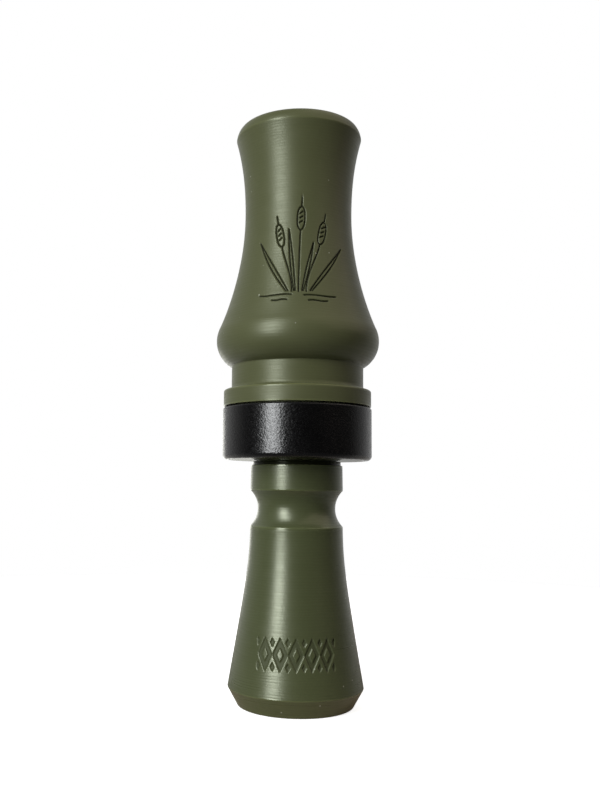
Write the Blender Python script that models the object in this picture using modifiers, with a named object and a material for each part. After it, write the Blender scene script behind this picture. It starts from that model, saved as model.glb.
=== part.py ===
"""Duck call: a turned barrel with a metal band, and an end piece that carries the tone board and its two reeds.

The frame stands the call on its bell. The origin is the centre of the bell's rim, +Z runs along the axis to
the mouthpiece, and the reeds lie on the -Y side of the tone board. Every length here is in metres.
"""

import math

import bmesh
import bpy
from mathutils import Matrix, Vector
from mathutils.geometry import interpolate_bezier

MM = 0.001

# Driving dimensions
CALL_HEIGHT = 134.7 * MM
BARREL_END = 55.25 * MM  # height of the lower end of barrel and band, where the end piece enters
BULGE_RADIUS = 19.05 * MM
BELL_RADIUS = 15.42 * MM
BARREL_BORE = 8.0 * MM
SOCKET_RADIUS = 9.6 * MM  # the wider bore that takes the tenon
TONE_BOARD_RADIUS = 7.4 * MM
THROAT_RADIUS = 3.7 * MM
FACE_GAP = 0.3 * MM  # left between faces that touch on the real call
TURNED_STEPS = 48

# Barrel, from the lip down
LIP_RADIUS = 14.95 * MM
LIP_EDGE_HEIGHT = 132.0 * MM
LIP_CREST_RADIUS = 13.0 * MM
MOUTH_DISH_DEPTH = 6.1 * MM
WAIST_RADIUS = 12.65 * MM
WAIST_HEIGHT = 113.3 * MM
BULGE_HEIGHT = 83.0 * MM
BULGE_ROUND = 6.75 * MM
BULGE_TOP_ANGLE = math.radians(25.3)
NECK_RADIUS = 15.4 * MM
COLLAR_RADIUS = 17.2 * MM
COLLAR_TOP = 71.4 * MM
COLLAR_BOTTOM = 67.6 * MM
BAND_SEAT_RADIUS = 15.6 * MM
SOCKET_DEPTH = 14.3 * MM

# Band
BAND_RADIUS = 17.3 * MM
BAND_BOTTOM = BARREL_END
BAND_SEAT_GAP = 0.15 * MM
BAND_CHAMFER = 0.65 * MM
EDGE_BREAK = 0.4 * MM

# End piece
SHOULDER = BARREL_END - FACE_GAP
SHOULDER_RADIUS = 10.2 * MM
SHOULDER_STEP = 0.9 * MM  # height of the narrower ring between the stub and the barrel
STUB_RADIUS = 10.6 * MM
STUB_BOTTOM = 48.3 * MM
BELL_TOP = 40.05 * MM
BELL_TOP_RADIUS = 10.7 * MM
BELL_EDGE_HEIGHT = 4.2 * MM
BELL_RIM_RADIUS = 13.1 * MM
BELL_BORE_RADIUS = 9.8 * MM
LANYARD_GROOVE_DEPTH = 1.75 * MM
THROAT_START = 46.0 * MM
TENON_RADIUS = SOCKET_RADIUS - FACE_GAP
TENON_TOP = BARREL_END + SOCKET_DEPTH - 0.6 * MM
SPIGOT_BORE = 5.7 * MM
SPIGOT_BORE_BOTTOM = 57.5 * MM

# O-rings in the tenon's two grooves
O_RING_HEIGHTS = {"o_ring_rear": 58.8 * MM, "o_ring_front": 63.2 * MM}
O_RING_SECTION = 0.7 * MM
O_RING_CENTRE = 8.8 * MM
O_RING_GROOVE_FLOOR = 8.05 * MM
O_RING_GROOVE_HALF = 1.0 * MM

# Tone board. Heights over the call's axis, towards -Y, are called rise here.
SPIGOT_RADIUS = SPIGOT_BORE - FACE_GAP
SEAT_HEIGHT = TENON_TOP + FACE_GAP
TONE_BOARD_TIP = 116.0 * MM
FLOOR_RISE = 0.8 * MM
NOTCH_BACK = 73.5 * MM
NOTCH_FRONT = 83.0 * MM
NOTCH_BACK_RISE = 3.2 * MM
NOTCH_FRONT_RISE = 5.0 * MM
REED_HINGE_HEIGHT = 86.0 * MM  # where the flat floor ends and the curved sounding surface starts
TIP_DROP = 1.3 * MM
CHANNEL_HALF_WIDTH = 2.6 * MM
CHANNEL_FLOOR_RISE = -3.6 * MM
CHANNEL_TIP = 109.0 * MM
AIRWAY_RISE = -1.0 * MM
AIRWAY_RADIUS = 2.55 * MM

# Reeds and wedge
REED_THICKNESS = 0.25 * MM
REED_HALF_WIDTH = 6.3 * MM
REED_BACK = 74.0 * MM
REED_GAP = 0.05 * MM
LOWER_REED_TIP = 115.4 * MM
UPPER_REED_TIP = 112.4 * MM
REED_CORNER_CUT = 2.2 * MM
WEDGE_HALF_WIDTH = 5.2 * MM
WEDGE_FRONT = 86.0 * MM
WEDGE_CLEARANCE = 0.1 * MM

OLIVE = ((0.085, 0.1, 0.048), 0.38, 0.0)
BLACK_METAL = ((0.012, 0.012, 0.013), 0.42, 0.7)
RUBBER = ((0.015, 0.015, 0.015), 0.6, 0.0)
FILM = ((0.78, 0.8, 0.76), 0.15, 0.0)
CORK = ((0.52, 0.33, 0.18), 0.85, 0.0)

# Local axes for flat outlines: side_view draws (height, rise), top_view draws (width, height).
SIDE_VIEW = Matrix(((0, 0, 1), (0, -1, 0), (1, 0, 0))).to_4x4()
TOP_VIEW = Matrix(((1, 0, 0), (0, 0, -1), (0, 1, 0))).to_4x4()


def clear_scene():
    for obj in list(bpy.data.objects):
        bpy.data.objects.remove(obj)


def new_collection(name):
    collection = bpy.data.collections.new(name)
    bpy.context.scene.collection.children.link(collection)
    return collection


def new_material(name, finish):
    colour, roughness, metallic = finish
    material = bpy.data.materials.new(name)
    material.use_nodes = True
    shader = material.node_tree.nodes["Principled BSDF"]
    shader.inputs["Base Color"].default_value = (*colour, 1.0)
    shader.inputs["Roughness"].default_value = roughness
    shader.inputs["Metallic"].default_value = metallic
    return material


def paint(objects, material):
    for obj in objects:
        obj.data.materials.append(material)


def curve_points(start, first_handle, second_handle, end, count):
    """Points of one Bezier stretch as (radius, height) pairs, both ends included."""
    corners = [Vector((x, y, 0)) for x, y in (start, first_handle, second_handle, end)]
    return [(p.x, p.y) for p in interpolate_bezier(*corners, count)]


def arc_points(centre, radius, first_angle, last_angle, count):
    """Points of a round stretch. Angles run from the radial direction towards +Z."""
    points = []
    for i in range(count):
        angle = first_angle + (last_angle - first_angle) * i / (count - 1)
        points.append((centre[0] + radius * math.cos(angle), centre[1] + radius * math.sin(angle)))
    return points


def turned(name, outline, collection):
    """A solid of revolution. The closed outline of (radius, height) runs down its outer side."""
    mesh = bpy.data.meshes.new(name)
    edges = [(i, (i + 1) % len(outline)) for i in range(len(outline))]
    mesh.from_pydata([(radius, 0, height) for radius, height in outline], edges, [])
    obj = bpy.data.objects.new(name, mesh)
    collection.objects.link(obj)
    screw = obj.modifiers.new("Screw", "SCREW")
    screw.axis = "Z"
    screw.steps = screw.render_steps = TURNED_STEPS
    screw.use_merge_vertices = True
    screw.merge_threshold = 0.001 * MM
    screw.use_smooth_shade = False
    return obj


def flat_outline(name, points, half_thickness, view, offset, collection):
    """A flat closed outline with thickness, as a mesh. view turns its plane, offset moves it along its normal."""
    curve = bpy.data.curves.new(name, "CURVE")
    curve.dimensions = "2D"
    curve.fill_mode = "BOTH"
    curve.extrude = half_thickness
    spline = curve.splines.new("POLY")
    spline.points.add(len(points) - 1)
    for point, (x, y) in zip(spline.points, points):
        point.co = (x, y, 0, 1)
    spline.use_cyclic_u = True
    drawn = bpy.data.objects.new(name + "_outline", curve)
    collection.objects.link(drawn)
    drawn.matrix_world = view @ Matrix.Translation((0, 0, offset))
    bpy.context.view_layer.update()
    evaluated = drawn.evaluated_get(bpy.context.evaluated_depsgraph_get())
    mesh = bpy.data.meshes.new_from_object(evaluated)
    obj = bpy.data.objects.new(name, mesh)
    obj.matrix_world = drawn.matrix_world.copy()
    collection.objects.link(obj)
    bpy.data.objects.remove(drawn)
    shape = bmesh.new()
    shape.from_mesh(mesh)
    bmesh.ops.remove_doubles(shape, verts=shape.verts, dist=0.001 * MM)
    bmesh.ops.recalc_face_normals(shape, faces=shape.faces)
    shape.to_mesh(mesh)
    shape.free()
    return obj


def cut(obj, cutter):
    boolean = obj.modifiers.new("Cut " + cutter.name, "BOOLEAN")
    boolean.operation = "DIFFERENCE"
    boolean.object = cutter
    cutter.hide_render = True
    cutter.display_type = "WIRE"


def set_origin(obj, point):
    """Moves the object's origin to a world point without moving its mesh."""
    shift = obj.matrix_world.inverted() @ Vector(point)
    obj.data.transform(Matrix.Translation(-shift))
    obj.matrix_world = obj.matrix_world @ Matrix.Translation(shift)


def barrel(collection):
    """Mouthpiece barrel: lip, waist, bulge, neck for the lanyard, collar, and the seat of the band."""
    bulge_centre = (BULGE_RADIUS - BULGE_ROUND, BULGE_HEIGHT)
    bulge_bottom_angle = math.acos((NECK_RADIUS - bulge_centre[0]) / BULGE_ROUND)
    bulge = arc_points(bulge_centre, BULGE_ROUND, BULGE_TOP_ANGLE, -bulge_bottom_angle, 10)
    bulge_top = bulge[0]
    top_slope = math.tan(BULGE_TOP_ANGLE)
    slope_handle = 1.1 * MM
    lip = curve_points(
        (LIP_CREST_RADIUS, CALL_HEIGHT),
        (LIP_CREST_RADIUS + 1.0 * MM, CALL_HEIGHT),
        (LIP_RADIUS - 0.2 * MM, LIP_EDGE_HEIGHT + 1.4 * MM),
        (LIP_RADIUS, LIP_EDGE_HEIGHT),
        5,
    )
    flare = curve_points(
        (LIP_RADIUS, LIP_EDGE_HEIGHT),
        (LIP_RADIUS - 1.4 * MM, LIP_EDGE_HEIGHT - 5.0 * MM),
        (WAIST_RADIUS, WAIST_HEIGHT + 8.0 * MM),
        (WAIST_RADIUS, WAIST_HEIGHT),
        8,
    )
    slope = curve_points(
        (WAIST_RADIUS, WAIST_HEIGHT),
        (WAIST_RADIUS, WAIST_HEIGHT - 14.2 * MM),
        (bulge_top[0] - slope_handle * top_slope, bulge_top[1] + slope_handle),
        bulge_top,
        11,
    )
    lower_end = [
        (NECK_RADIUS, COLLAR_TOP),
        (COLLAR_RADIUS - EDGE_BREAK, COLLAR_TOP),
        (COLLAR_RADIUS, COLLAR_TOP - EDGE_BREAK),
        (COLLAR_RADIUS, COLLAR_BOTTOM),
        (BAND_SEAT_RADIUS, COLLAR_BOTTOM),
        (BAND_SEAT_RADIUS, BARREL_END + EDGE_BREAK),
        (BAND_SEAT_RADIUS - EDGE_BREAK, BARREL_END),
        (SOCKET_RADIUS + EDGE_BREAK, BARREL_END),
        (SOCKET_RADIUS, BARREL_END + EDGE_BREAK),
        (SOCKET_RADIUS, BARREL_END + SOCKET_DEPTH),
        (BARREL_BORE, BARREL_END + SOCKET_DEPTH + 1.0 * MM),
    ]
    dish = curve_points(
        (BARREL_BORE, CALL_HEIGHT - MOUTH_DISH_DEPTH),
        (BARREL_BORE, CALL_HEIGHT - 2.6 * MM),
        (LIP_CREST_RADIUS - 2.6 * MM, CALL_HEIGHT),
        (LIP_CREST_RADIUS, CALL_HEIGHT),
        7,
    )
    outline = lip + flare[1:] + slope[1:] + bulge[1:] + lower_end + dish[:-1]
    return turned("barrel", outline, collection)


def band(collection):
    """Metal band round the barrel's lower end and flush with it, with its outer edges broken."""
    inner = BAND_SEAT_RADIUS + BAND_SEAT_GAP
    top = COLLAR_BOTTOM - FACE_GAP
    outline = [
        (inner, top),
        (BAND_RADIUS - EDGE_BREAK, top),
        (BAND_RADIUS, top - EDGE_BREAK),
        (BAND_RADIUS, BAND_BOTTOM + BAND_CHAMFER),
        (BAND_RADIUS - BAND_CHAMFER, BAND_BOTTOM),
        (inner, BAND_BOTTOM),
    ]
    return turned("band", outline, collection)


def end_piece(collection):
    """Exhaust end: tenon with two O-ring grooves, stub, lanyard groove and bell, bored right through."""
    grooves = []
    for height in sorted(O_RING_HEIGHTS.values(), reverse=True):
        for side, depth in ((1, 0), (1, 1), (-1, 1), (-1, 0)):
            radius = O_RING_GROOVE_FLOOR if depth else TENON_RADIUS
            grooves.append((radius, height + side * O_RING_GROOVE_HALF))
    half_height = (STUB_BOTTOM - BELL_TOP) / 2
    groove_round = (half_height**2 + LANYARD_GROOVE_DEPTH**2) / (2 * LANYARD_GROOVE_DEPTH)
    groove_angle = math.asin(half_height / groove_round)
    groove_edge = BELL_TOP_RADIUS + groove_round * math.cos(groove_angle)
    lanyard_groove = arc_points(
        (groove_edge, BELL_TOP + half_height),
        groove_round,
        math.pi - groove_angle,
        math.pi + groove_angle,
        9,
    )
    bell = curve_points(
        (BELL_TOP_RADIUS, BELL_TOP),
        (BELL_TOP_RADIUS, BELL_TOP - 9.0 * MM),
        (BELL_RADIUS - 3.3 * MM, BELL_EDGE_HEIGHT + 19.6 * MM),
        (BELL_RADIUS, BELL_EDGE_HEIGHT),
        9,
    )
    rim = [
        (BELL_RADIUS - 0.08 * MM, BELL_EDGE_HEIGHT - 0.3 * MM),
        (BELL_RIM_RADIUS + 0.1 * MM, 0.45 * MM),
        (BELL_RIM_RADIUS - EDGE_BREAK, 0),
        (BELL_BORE_RADIUS + EDGE_BREAK, 0),
    ]
    exhaust = curve_points(
        (BELL_BORE_RADIUS, EDGE_BREAK),
        (BELL_BORE_RADIUS - 3.0 * MM, 17.0 * MM),
        (THROAT_RADIUS, 28.0 * MM),
        (THROAT_RADIUS, THROAT_START),
        9,
    )
    tenon_tip = [
        (SPIGOT_BORE, TENON_TOP),
        (TENON_RADIUS - EDGE_BREAK, TENON_TOP),
        (TENON_RADIUS, TENON_TOP - EDGE_BREAK),
    ]
    stub = [
        (TENON_RADIUS, SHOULDER),
        (SHOULDER_RADIUS, SHOULDER),
        (SHOULDER_RADIUS, SHOULDER - SHOULDER_STEP),
        (STUB_RADIUS, SHOULDER - SHOULDER_STEP),
    ]
    bore = [(THROAT_RADIUS, SPIGOT_BORE_BOTTOM), (SPIGOT_BORE, SPIGOT_BORE_BOTTOM)]
    outline = tenon_tip + grooves + stub + lanyard_groove + bell[1:] + rim + exhaust + bore
    return turned("end_piece", outline, collection)


def o_ring(name, height, collection):
    section = arc_points((O_RING_CENTRE, height), O_RING_SECTION, math.tau, 0, 11)[:-1]
    return turned(name, section, collection)


def sounding_surface():
    """(height, rise) points from the end of the flat floor to past the tip, falling away as a parabola."""
    points = []
    length = TONE_BOARD_TIP - REED_HINGE_HEIGHT
    past_tip = 1.05
    count = 10
    for i in range(count + 1):
        share = past_tip * i / count
        points.append((REED_HINGE_HEIGHT + share * length, FLOOR_RISE - TIP_DROP * share**2))
    return points


def tone_board(collection, cutters):
    """Rod with a spigot, cut down to the sounding surface, with the reed notch and the milled tone channel."""
    edge = 0.5 * MM
    outline = [
        (0, TONE_BOARD_TIP),
        (TONE_BOARD_RADIUS - edge, TONE_BOARD_TIP),
        (TONE_BOARD_RADIUS, TONE_BOARD_TIP - edge),
        (TONE_BOARD_RADIUS, SEAT_HEIGHT),
        (SPIGOT_RADIUS, SEAT_HEIGHT),
        (SPIGOT_RADIUS, SPIGOT_BORE_BOTTOM + FACE_GAP),
        (0, SPIGOT_BORE_BOTTOM + FACE_GAP),
    ]
    rod = turned("tone_board", outline, collection)

    clear_of_rod = TONE_BOARD_RADIUS + 2.0 * MM
    surface = sounding_surface()
    side = [(NOTCH_BACK, FLOOR_RISE)] + surface
    side += [
        (surface[-1][0], clear_of_rod),
        (NOTCH_FRONT, clear_of_rod),
        (NOTCH_FRONT, NOTCH_FRONT_RISE),
        (NOTCH_BACK, NOTCH_BACK_RISE),
    ]
    cut(rod, flat_outline("notch_cutter", side, clear_of_rod, SIDE_VIEW, 0, cutters))

    tip_centre = (0, CHANNEL_TIP - CHANNEL_HALF_WIDTH)
    back_centre = (0, NOTCH_BACK + CHANNEL_HALF_WIDTH + 0.2 * MM)
    slot = arc_points(tip_centre, CHANNEL_HALF_WIDTH, 0, math.pi, 9)
    slot += arc_points(back_centre, CHANNEL_HALF_WIDTH, math.pi, math.tau, 9)
    slot_top = FLOOR_RISE + 1.0 * MM
    slot_half = (slot_top - CHANNEL_FLOOR_RISE) / 2
    slot_middle = slot_top - slot_half
    cut(rod, flat_outline("channel_cutter", slot, slot_half, TOP_VIEW, slot_middle, cutters))

    airway_top = back_centre[1]
    airway_bottom = SPIGOT_BORE_BOTTOM - 1.0 * MM
    drill = [(0, airway_top), (AIRWAY_RADIUS, airway_top), (AIRWAY_RADIUS, airway_bottom), (0, airway_bottom)]
    airway = turned("airway_cutter", drill, cutters)
    airway.location = (0, -AIRWAY_RISE, 0)
    cut(rod, airway)
    return rod


def reed(name, tip, rise, collection):
    """Flat reed with clipped tip corners. rise is the height of its lower face over the axis."""
    half = REED_HALF_WIDTH
    outline = [
        (half, REED_BACK),
        (half, tip - REED_CORNER_CUT),
        (half - REED_CORNER_CUT, tip),
        (REED_CORNER_CUT - half, tip),
        (-half, tip - REED_CORNER_CUT),
        (-half, REED_BACK),
    ]
    middle = rise + REED_THICKNESS / 2
    obj = flat_outline(name, outline, REED_THICKNESS / 2, TOP_VIEW, middle, collection)
    set_origin(obj, (0, -middle, REED_HINGE_HEIGHT))
    return obj


def wedge(rise, collection):
    """Tapered cork that holds both reeds down in the notch. rise is the height of its lower face."""
    roof_slope = (NOTCH_FRONT_RISE - NOTCH_BACK_RISE) / (NOTCH_FRONT - NOTCH_BACK)
    back = NOTCH_BACK + 0.5 * MM
    back_top = NOTCH_BACK_RISE + roof_slope * (back - NOTCH_BACK) - WEDGE_CLEARANCE
    front_top = NOTCH_BACK_RISE + roof_slope * (WEDGE_FRONT - NOTCH_BACK) - WEDGE_CLEARANCE
    outline = [
        (back, rise),
        (WEDGE_FRONT, rise),
        (WEDGE_FRONT, front_top),
        (back, back_top),
    ]
    return flat_outline("wedge", outline, WEDGE_HALF_WIDTH, SIDE_VIEW, 0, collection)


def build():
    clear_scene()
    parts = new_collection("duck_call")
    cutters = new_collection("cutters")
    lower_rise = FLOOR_RISE + REED_GAP
    upper_rise = lower_rise + REED_THICKNESS + REED_GAP
    wedge_rise = upper_rise + REED_THICKNESS + REED_GAP

    turned_green = [barrel(parts), end_piece(parts), tone_board(parts, cutters)]
    rings = [o_ring(name, height, parts) for name, height in O_RING_HEIGHTS.items()]
    reeds = [
        reed("lower_reed", LOWER_REED_TIP, lower_rise, parts),
        reed("upper_reed", UPPER_REED_TIP, upper_rise, parts),
    ]
    paint(turned_green, new_material("olive_polycarbonate", OLIVE))
    paint([band(parts)], new_material("black_metal", BLACK_METAL))
    paint(rings, new_material("rubber", RUBBER))
    paint(reeds, new_material("reed_film", FILM))
    paint([wedge(wedge_rise, parts)], new_material("cork", CORK))


build()
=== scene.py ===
"""Looks of the duck call: turned and engraved shells, the small parts inside, their materials and the studio.

Everything is in metres in the part's frame: the call stands on its bell, +Z runs to the mouthpiece and the
camera looks along +Y. Turned pieces are drawn as closed (radius, height) outlines that run down the outside.
"""

import math

import bmesh
import bpy
import numpy as np
from mathutils import Euler, Matrix, Vector, noise

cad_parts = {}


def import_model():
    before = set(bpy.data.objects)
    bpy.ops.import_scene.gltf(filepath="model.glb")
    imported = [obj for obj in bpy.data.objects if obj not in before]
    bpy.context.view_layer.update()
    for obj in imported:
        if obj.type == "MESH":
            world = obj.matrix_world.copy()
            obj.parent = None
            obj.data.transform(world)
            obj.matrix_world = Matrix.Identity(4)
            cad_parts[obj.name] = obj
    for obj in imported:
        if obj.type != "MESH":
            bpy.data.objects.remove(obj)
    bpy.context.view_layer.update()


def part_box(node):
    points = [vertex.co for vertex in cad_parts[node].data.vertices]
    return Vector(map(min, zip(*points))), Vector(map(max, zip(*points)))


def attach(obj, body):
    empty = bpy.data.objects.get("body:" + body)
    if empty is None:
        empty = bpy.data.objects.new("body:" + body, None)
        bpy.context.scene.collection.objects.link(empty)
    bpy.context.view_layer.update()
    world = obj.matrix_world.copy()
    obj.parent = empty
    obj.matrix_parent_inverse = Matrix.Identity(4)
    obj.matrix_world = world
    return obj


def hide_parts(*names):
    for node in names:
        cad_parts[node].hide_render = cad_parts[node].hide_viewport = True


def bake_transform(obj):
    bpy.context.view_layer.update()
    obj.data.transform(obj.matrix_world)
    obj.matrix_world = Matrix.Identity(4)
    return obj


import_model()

MM = 0.001


def low(node):
    """The height of the CAD node's lower end."""
    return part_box(node)[0].z


def high(node):
    """The height of the CAD node's upper end."""
    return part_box(node)[1].z


# Heights that come from the frame
CALL_TOP = high("barrel")
BAND_TOP = high("band")
BARREL_END = low("barrel")
TENON_TOP = high("end_piece")
TONE_BOARD_TIP = high("tone_board")

# Barrel
LIP_RADIUS = 14.95 * MM
LIP_EDGE_HEIGHT = 132.0 * MM
LIP_CREST_RADIUS = 13.0 * MM
MOUTH_DISH_DEPTH = 6.1 * MM
WAIST_RADIUS = 12.65 * MM
WAIST_HEIGHT = 113.3 * MM
BULGE_RADIUS = 19.05 * MM
BULGE_HEIGHT = 83.0 * MM
BULGE_ROUND = 6.75 * MM
BULGE_TOP_ANGLE = math.radians(25.3)
NECK_RADIUS = 15.4 * MM
COLLAR_RADIUS = 17.2 * MM
COLLAR_TOP = 71.4 * MM
COLLAR_BOTTOM = 67.6 * MM
BAND_SEAT_RADIUS = 15.6 * MM
BARREL_BORE = 8.0 * MM
SOCKET_RADIUS = 9.6 * MM
SOCKET_DEPTH = 14.3 * MM

# Engraving
BARREL_DRAWING_HEIGHT = 101.5 * MM
BARREL_DRAWING_REACH = 13.0 * MM
BELL_DRAWING_HEIGHT = 13.3 * MM
BELL_DRAWING_REACH = 9.0 * MM

# Colours
BARREL_COLOUR = (0.086, 0.093, 0.042)
END_PIECE_COLOUR = (0.068, 0.079, 0.034)
GLINT_TINT = (0.95, 1.0, 0.8)  # of the plastic's reflections
DUST_COLOUR = (0.5, 0.5, 0.42)

# Band
BAND_RADIUS = 17.3 * MM
BAND_INNER_RADIUS = 15.75 * MM
BAND_LOWER_ROUND = 1.1 * MM
BAND_WALL_ROWS = 74
BLAST_DEPTH = 0.011 * MM
BLAST_DEPTH_LIMIT = 0.026 * MM

# End piece
SHOULDER = BARREL_END - 0.3 * MM
SHOULDER_RADIUS = 10.2 * MM
SHOULDER_STEP = 0.9 * MM
STUB_RADIUS = 10.6 * MM
STUB_BOTTOM = 48.3 * MM
BELL_TOP = 40.05 * MM
BELL_TOP_RADIUS = 10.7 * MM
BELL_RADIUS = 15.42 * MM
BELL_EDGE_HEIGHT = 4.2 * MM
BELL_RIM_RADIUS = 13.1 * MM
BELL_BORE_RADIUS = 9.8 * MM
LANYARD_GROOVE_DEPTH = 1.75 * MM
THROAT_RADIUS = 3.7 * MM
THROAT_START = 46.0 * MM
TENON_RADIUS = 9.3 * MM
SPIGOT_BORE = 5.7 * MM
SPIGOT_BORE_BOTTOM = 57.5 * MM
O_RING_HEIGHTS = (63.2 * MM, 58.8 * MM)
O_RING_GROOVE_FLOOR = 8.05 * MM
O_RING_GROOVE_HALF = 1.0 * MM

# O-rings
O_RING_SECTION = 0.7 * MM
O_RING_CENTRE = 8.8 * MM
FLASH_HEIGHT = 0.03 * MM

# Tone board. Heights over the call's axis, towards -Y, are called rise here.
SPIGOT_RADIUS = 5.4 * MM
SPIGOT_END = low("tone_board")
SEAT_HEIGHT = TENON_TOP + 0.3 * MM
TONE_BOARD_RADIUS = 7.4 * MM
FLOOR_RISE = 0.8 * MM
NOTCH_BACK = 73.5 * MM
NOTCH_FRONT = 83.0 * MM
NOTCH_BACK_RISE = 3.2 * MM
NOTCH_FRONT_RISE = 5.0 * MM
REED_HINGE_HEIGHT = 86.0 * MM
TIP_DROP = 1.3 * MM
CHANNEL_HALF_WIDTH = 2.6 * MM
CHANNEL_FLOOR_RISE = -3.6 * MM
CHANNEL_TIP = 109.0 * MM
CHANNEL_TIP_CENTRE = CHANNEL_TIP - CHANNEL_HALF_WIDTH
CHANNEL_BACK_CENTRE = NOTCH_BACK + CHANNEL_HALF_WIDTH + 0.2 * MM
AIRWAY_RISE = -1.0 * MM
AIRWAY_RADIUS = 2.55 * MM

# Reeds and wedge
REED_THICKNESS = 0.25 * MM
REED_BACK = low("lower_reed")
REED_HALF_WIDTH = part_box("lower_reed")[1].x
REED_CORNER_CUT = 2.2 * MM
LOWER_REED_RISE = 0.85 * MM
UPPER_REED_RISE = 1.15 * MM
DIMPLE_HEIGHT = 97.0 * MM
DIMPLE_RADIUS = 0.9 * MM
DIMPLE_DEPTH = 0.14 * MM
WEDGE_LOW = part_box("wedge")[0]
WEDGE_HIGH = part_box("wedge")[1]

# Camera, set to the photograph's view: below the band and tilted up, close enough to see under the band
LENS = 39.23  # in millimetres, for a sensor 36 mm on its longer side
CAMERA_DISTANCE = 204.0 * MM
CAMERA_HEIGHT = 48.56 * MM
CAMERA_SIDE = -2.13 * MM
CAMERA_TILT = math.radians(5.8)
CAMERA_ROLL = math.radians(0.734)
CAMERA_TURN = math.radians(3.0)  # to its left
CAMERA_SHIFT = 0.0718  # brings the call back to the middle

FLOOR_RADIUS = 300 * MM


# Outlines -----------------------------------------------------------------------------------------


def curve(start, first_handle, second_handle, end, count):
    """Points of one Bezier stretch, both ends included."""
    t = np.linspace(0, 1, count)[:, None]
    a, b, c, d = (np.array(p, float) for p in (start, first_handle, second_handle, end))
    points = (1 - t) ** 3 * a + 3 * (1 - t) ** 2 * t * b + 3 * (1 - t) * t**2 * c + t**3 * d
    return [tuple(p) for p in points]


def arc(centre, radius, first_angle, last_angle, count):
    """Points of a circular arc, both ends included."""
    angles = np.linspace(first_angle, last_angle, count)
    return [(centre[0] + radius * math.cos(a), centre[1] + radius * math.sin(a)) for a in angles]


def spaced(points, fine_low, fine_high, fine_step, coarse_step):
    """Thins a dense run of points. The ones between two heights stay closer together."""
    kept = [points[0]]
    for point in points[1:-1]:
        step = fine_step if fine_low < point[1] < fine_high else coarse_step
        if math.dist(point, kept[-1]) >= step:
            kept.append(point)
    return kept + [points[-1]]


def rippled(points, pitch, depth, top):
    """Adds the ridges that a lathe tool leaves, fading out at the height top."""
    ridged = []
    for radius, height in points:
        fade = min(max((top - height) / (3 * MM), 0), 1)
        ridged.append((radius + fade * depth * math.sin(math.tau * height / pitch), height))
    return ridged


def supported(points, margin=0.25 * MM):
    """Adds a point close to each end of every long straight side, so that shading stays flat between."""
    held = []
    for i, point in enumerate(points):
        after = points[(i + 1) % len(points)]
        length = math.dist(point, after)
        held.append(point)
        if length > 3 * margin:
            for share in (margin / length, 1 - margin / length):
                held.append(tuple(p + share * (q - p) for p, q in zip(point, after)))
    return held


def rounded(corners, count=5):
    """Corners are (radius, height) or (radius, height, rounding). A rounded one becomes a short curve."""
    points = []
    total = len(corners)
    for i, corner in enumerate(corners):
        if len(corner) == 2:
            points.append(corner)
            continue
        here = Vector(corner[:2])
        before = Vector(corners[i - 1][:2]) - here
        after = Vector(corners[(i + 1) % total][:2]) - here
        reach = min(corner[2] / math.tan(before.angle(after) / 2), before.length / 2, after.length / 2)
        start = here + before.normalized() * reach
        end = here + after.normalized() * reach
        for share in np.linspace(0, 1, count):
            first, second = start.lerp(here, share), here.lerp(end, share)
            points.append(tuple(first.lerp(second, share)))
    return supported(points)


# Meshes -------------------------------------------------------------------------------------------


def new_object(name, vertices, faces):
    mesh = bpy.data.meshes.new(name)
    mesh.from_pydata(vertices, [], faces)
    mesh.validate()
    obj = bpy.data.objects.new(name, mesh)
    bpy.context.scene.collection.objects.link(obj)
    mesh.shade_smooth()
    return obj


def even_angles(count):
    """Angles round the axis, all the same step apart."""
    return np.arange(count) * math.tau / count


def front_angles(half_width, fine_step, coarse_step):
    """Angles round the axis, fine over the front (-Y) and coarse over the rest."""
    front = -math.pi / 2
    fine = np.linspace(front - half_width, front + half_width, int(2 * half_width / fine_step) + 1)
    rest = math.tau - 2 * half_width
    coarse_count = int(rest / coarse_step) + 1
    coarse = front + half_width + rest * np.arange(1, coarse_count) / coarse_count
    return np.concatenate([fine, coarse])


def corner_wear(outline, window=0.22 * MM, full_turn=math.radians(40)):
    """For each outline point, from 0 to 1, how sharply the solid turns outwards within the window."""
    ahead = np.roll(outline, -1, axis=0) - outline
    behind = np.roll(ahead, 1, axis=0)
    cross = behind[:, 0] * ahead[:, 1] - behind[:, 1] * ahead[:, 0]
    turn = -np.arctan2(cross, (behind * ahead).sum(axis=1))
    gaps = np.linalg.norm(outline[:, None] - outline[None], axis=2)
    near = np.clip(1 - gaps / window, 0, 1)
    return np.clip((near * turn).sum(axis=1) / full_turn, 0, 1)


def lathe(name, outline, angles):
    """A closed outline of (radius, height), running down its outer side, turned about Z.

    Sharp outer corners get the attribute "worn".
    """
    outline = np.array(outline)
    rows, columns = len(outline), len(angles)
    radius = outline[:, 0][:, None]
    vertices = np.empty((rows, columns, 3))
    vertices[:, :, 0] = radius * np.cos(angles)
    vertices[:, :, 1] = radius * np.sin(angles)
    vertices[:, :, 2] = outline[:, 1][:, None]
    index = np.arange(rows * columns).reshape(rows, columns)
    below = np.roll(index, -1, axis=0)
    faces = np.stack([index, below, np.roll(below, -1, axis=1), np.roll(index, -1, axis=1)], axis=-1)
    obj = new_object(name, vertices.reshape(-1, 3).tolist(), faces.reshape(-1, 4).tolist())
    store(obj, "worn", np.repeat(corner_wear(outline), columns))
    return obj


def store(obj, name, values):
    """Keeps one number a vertex on the mesh, for the material to read."""
    attribute = obj.data.attributes.new(name, "FLOAT", "POINT")
    attribute.data.foreach_set("value", np.asarray(values, np.float32))


def coordinates(obj):
    """The places of the mesh's vertices, one row each."""
    places = np.empty(len(obj.data.vertices) * 3)
    obj.data.vertices.foreach_get("co", places)
    return places.reshape(-1, 3)


def move_vertices(obj, places):
    obj.data.vertices.foreach_set("co", places.ravel())
    obj.data.update()


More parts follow.
